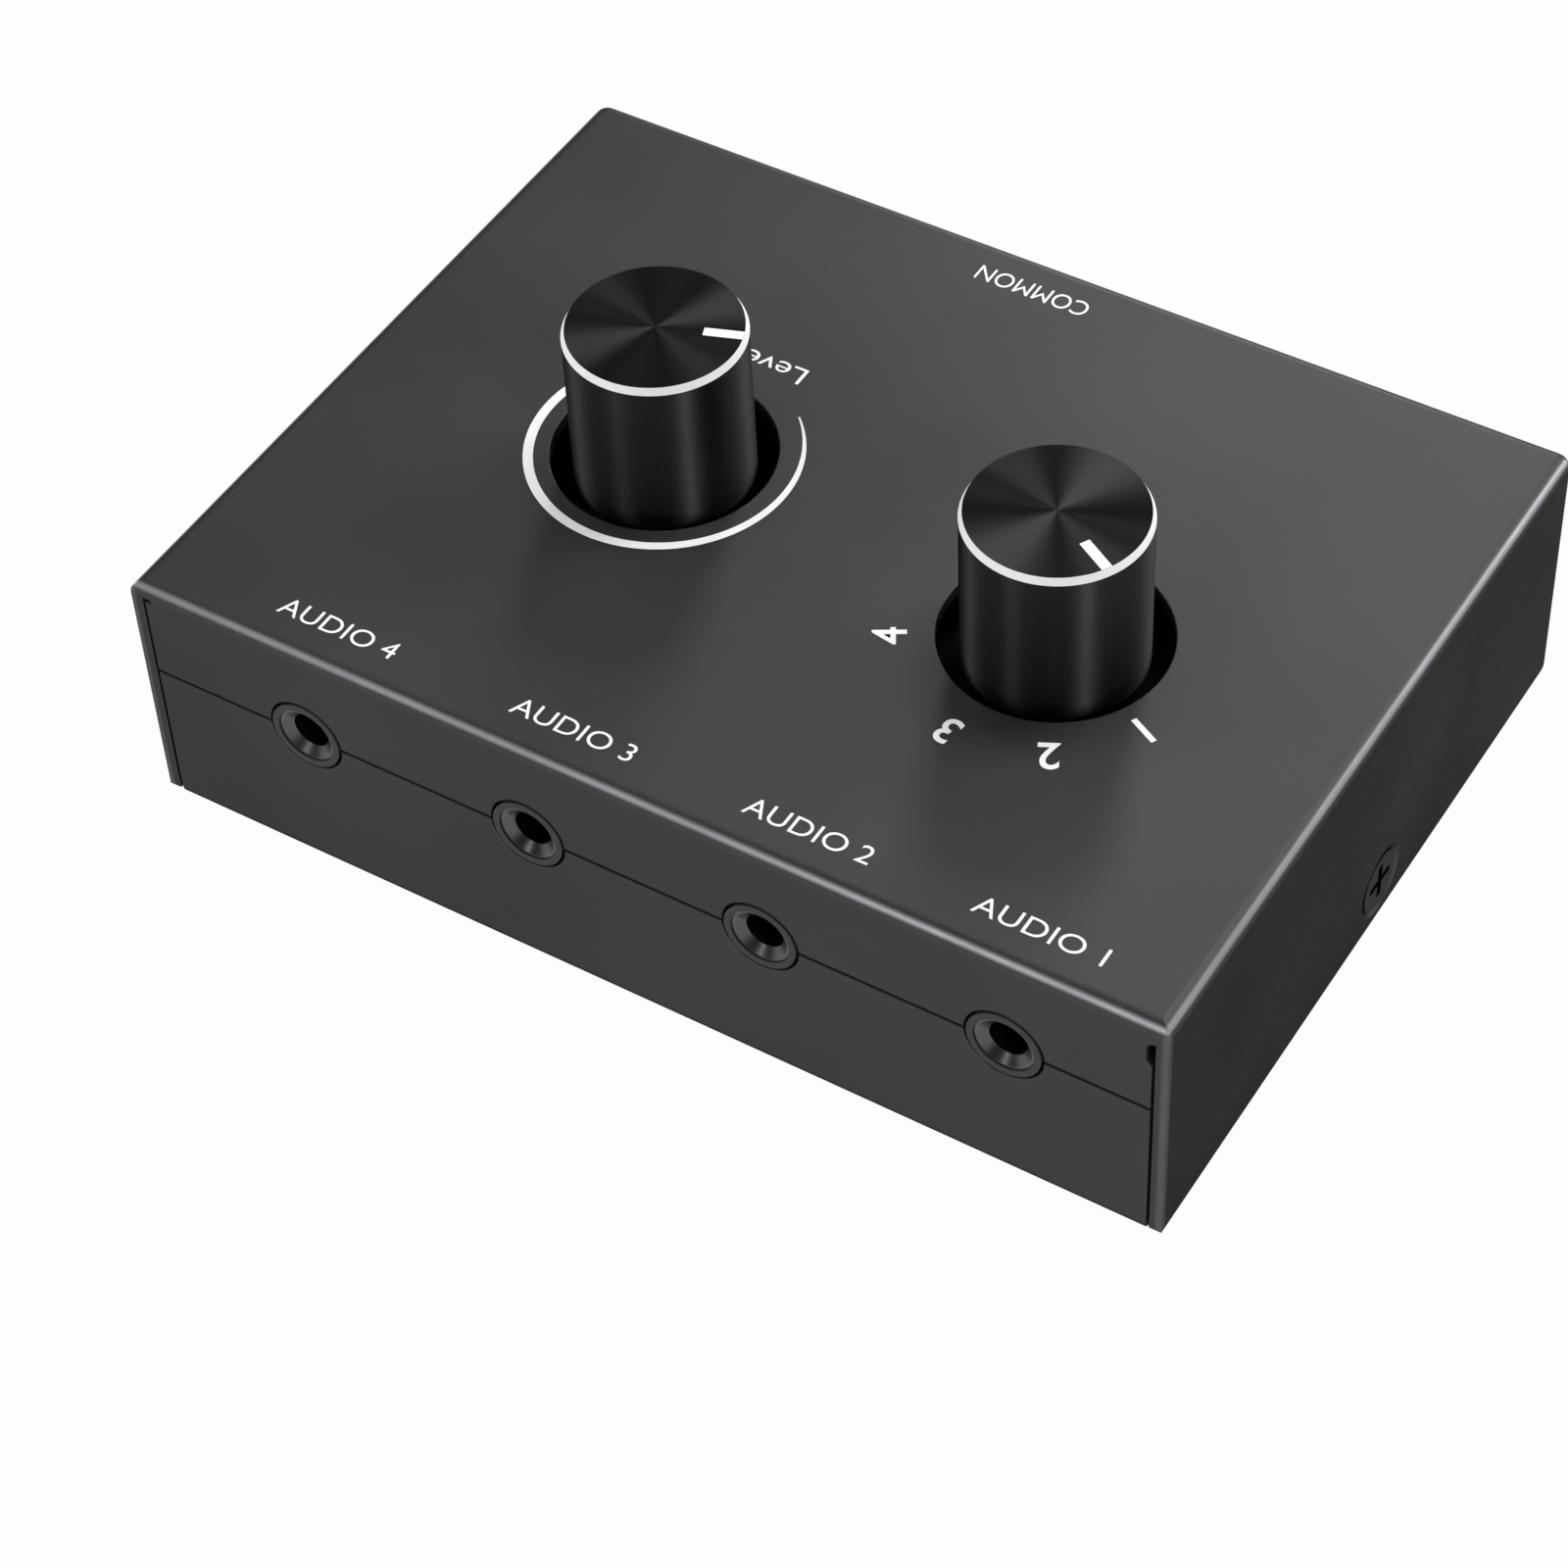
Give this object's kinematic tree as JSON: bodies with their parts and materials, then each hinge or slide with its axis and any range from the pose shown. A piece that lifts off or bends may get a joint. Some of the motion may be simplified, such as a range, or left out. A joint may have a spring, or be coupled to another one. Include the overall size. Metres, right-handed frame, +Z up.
{
  "type": "audio switch box",
  "caption": "Small folded-metal desktop audio switch box with a volume knob, a four-way selector knob, line jacks in front and a main jack behind.",
  "frame": {"origin": "middle of the case's footprint, on the surface under the rubber feet", "axes": "+X to the right of the front, along the case's width; -Y out of the front with the four jacks; +Z up, along both knob axes"},
  "size_m": [0.102, 0.0754, 0.0429],
  "materials": {
    "case_black": "fine satin black coat, slight grain",
    "black_oxide": "black oxide on steel",
    "knob_black": "black anodised, spun top, finely turned side",
    "white_paint": "white enamel and screen ink",
    "jack_plastic": "moulded black nylon",
    "jack_nickel": "black nickel",
    "dark_plastic": "moulded black thermoplastic",
    "foot_rubber": "matt rubber",
    "board_laminate": "black solder mask on glass laminate",
    "plated_steel": "zinc plated",
    "bushing_brass": "nickel-plated brass",
    "tinned_brass": "tinned brass",
    "spring_brass": "bare spring brass",
    "shaft_aluminium": "turned aluminium"
  },
  "bodies": {
    "case": {"top_cover": "case_black", "bottom_tray": "case_black", "side_screws": "black_oxide", "board_screws": "plated_steel", "rubber_feet": "foot_rubber", "circuit_board": "board_laminate", "board_standoffs": "plated_steel", "volume_can": "black_oxide", "volume_bushing": "bushing_brass", "volume_track_board": "dark_plastic", "volume_pins": "tinned_brass", "selector_case": "dark_plastic", "selector_bushing": "bushing_brass", "selector_contact_board": "dark_plastic", "selector_contacts": "tinned_brass", "selector_pins": "tinned_brass", "detent_ring": "dark_plastic", "line_1_jack_housing": "jack_plastic", "line_1_jack_sleeve": "jack_nickel", "line_1_jack_springs": "spring_brass", "line_2_jack_housing": "jack_plastic", "line_2_jack_sleeve": "jack_nickel", "line_2_jack_springs": "spring_brass", "line_3_jack_housing": "jack_plastic", "line_3_jack_sleeve": "jack_nickel", "line_3_jack_springs": "spring_brass", "line_4_jack_housing": "jack_plastic", "line_4_jack_sleeve": "jack_nickel", "line_4_jack_springs": "spring_brass", "main_jack_housing": "jack_plastic", "main_jack_sleeve": "jack_nickel", "main_jack_springs": "spring_brass"},
    "volume_turn": {"volume_shaft": "shaft_aluminium", "volume_carrier": "dark_plastic", "volume_wiper": "spring_brass", "volume_knob": "knob_black", "volume_knob_core": "dark_plastic", "volume_pointer": "white_paint"},
    "selector_turn": {"selector_shaft": "shaft_aluminium", "selector_rotor": "dark_plastic", "selector_bridges": "spring_brass", "detent_balls": "plated_steel", "detent_springs": "plated_steel", "selector_knob": "knob_black", "selector_knob_core": "dark_plastic", "selector_pointer": "white_paint"}
  },
  "joints": [
    {"name": "volume_turn", "type": "hinge", "parent": "case", "child": "volume_turn", "pos_m": [-0.0192, -0.001, 0.0283], "axis": [0, 0, 1], "range_deg": [-250, 30]},
    {"name": "selector_turn", "type": "hinge", "parent": "case", "child": "selector_turn", "pos_m": [0.0221, -0.004, 0.0283], "axis": [0, 0, 1], "range_deg": [-122, 0]}
  ]
}
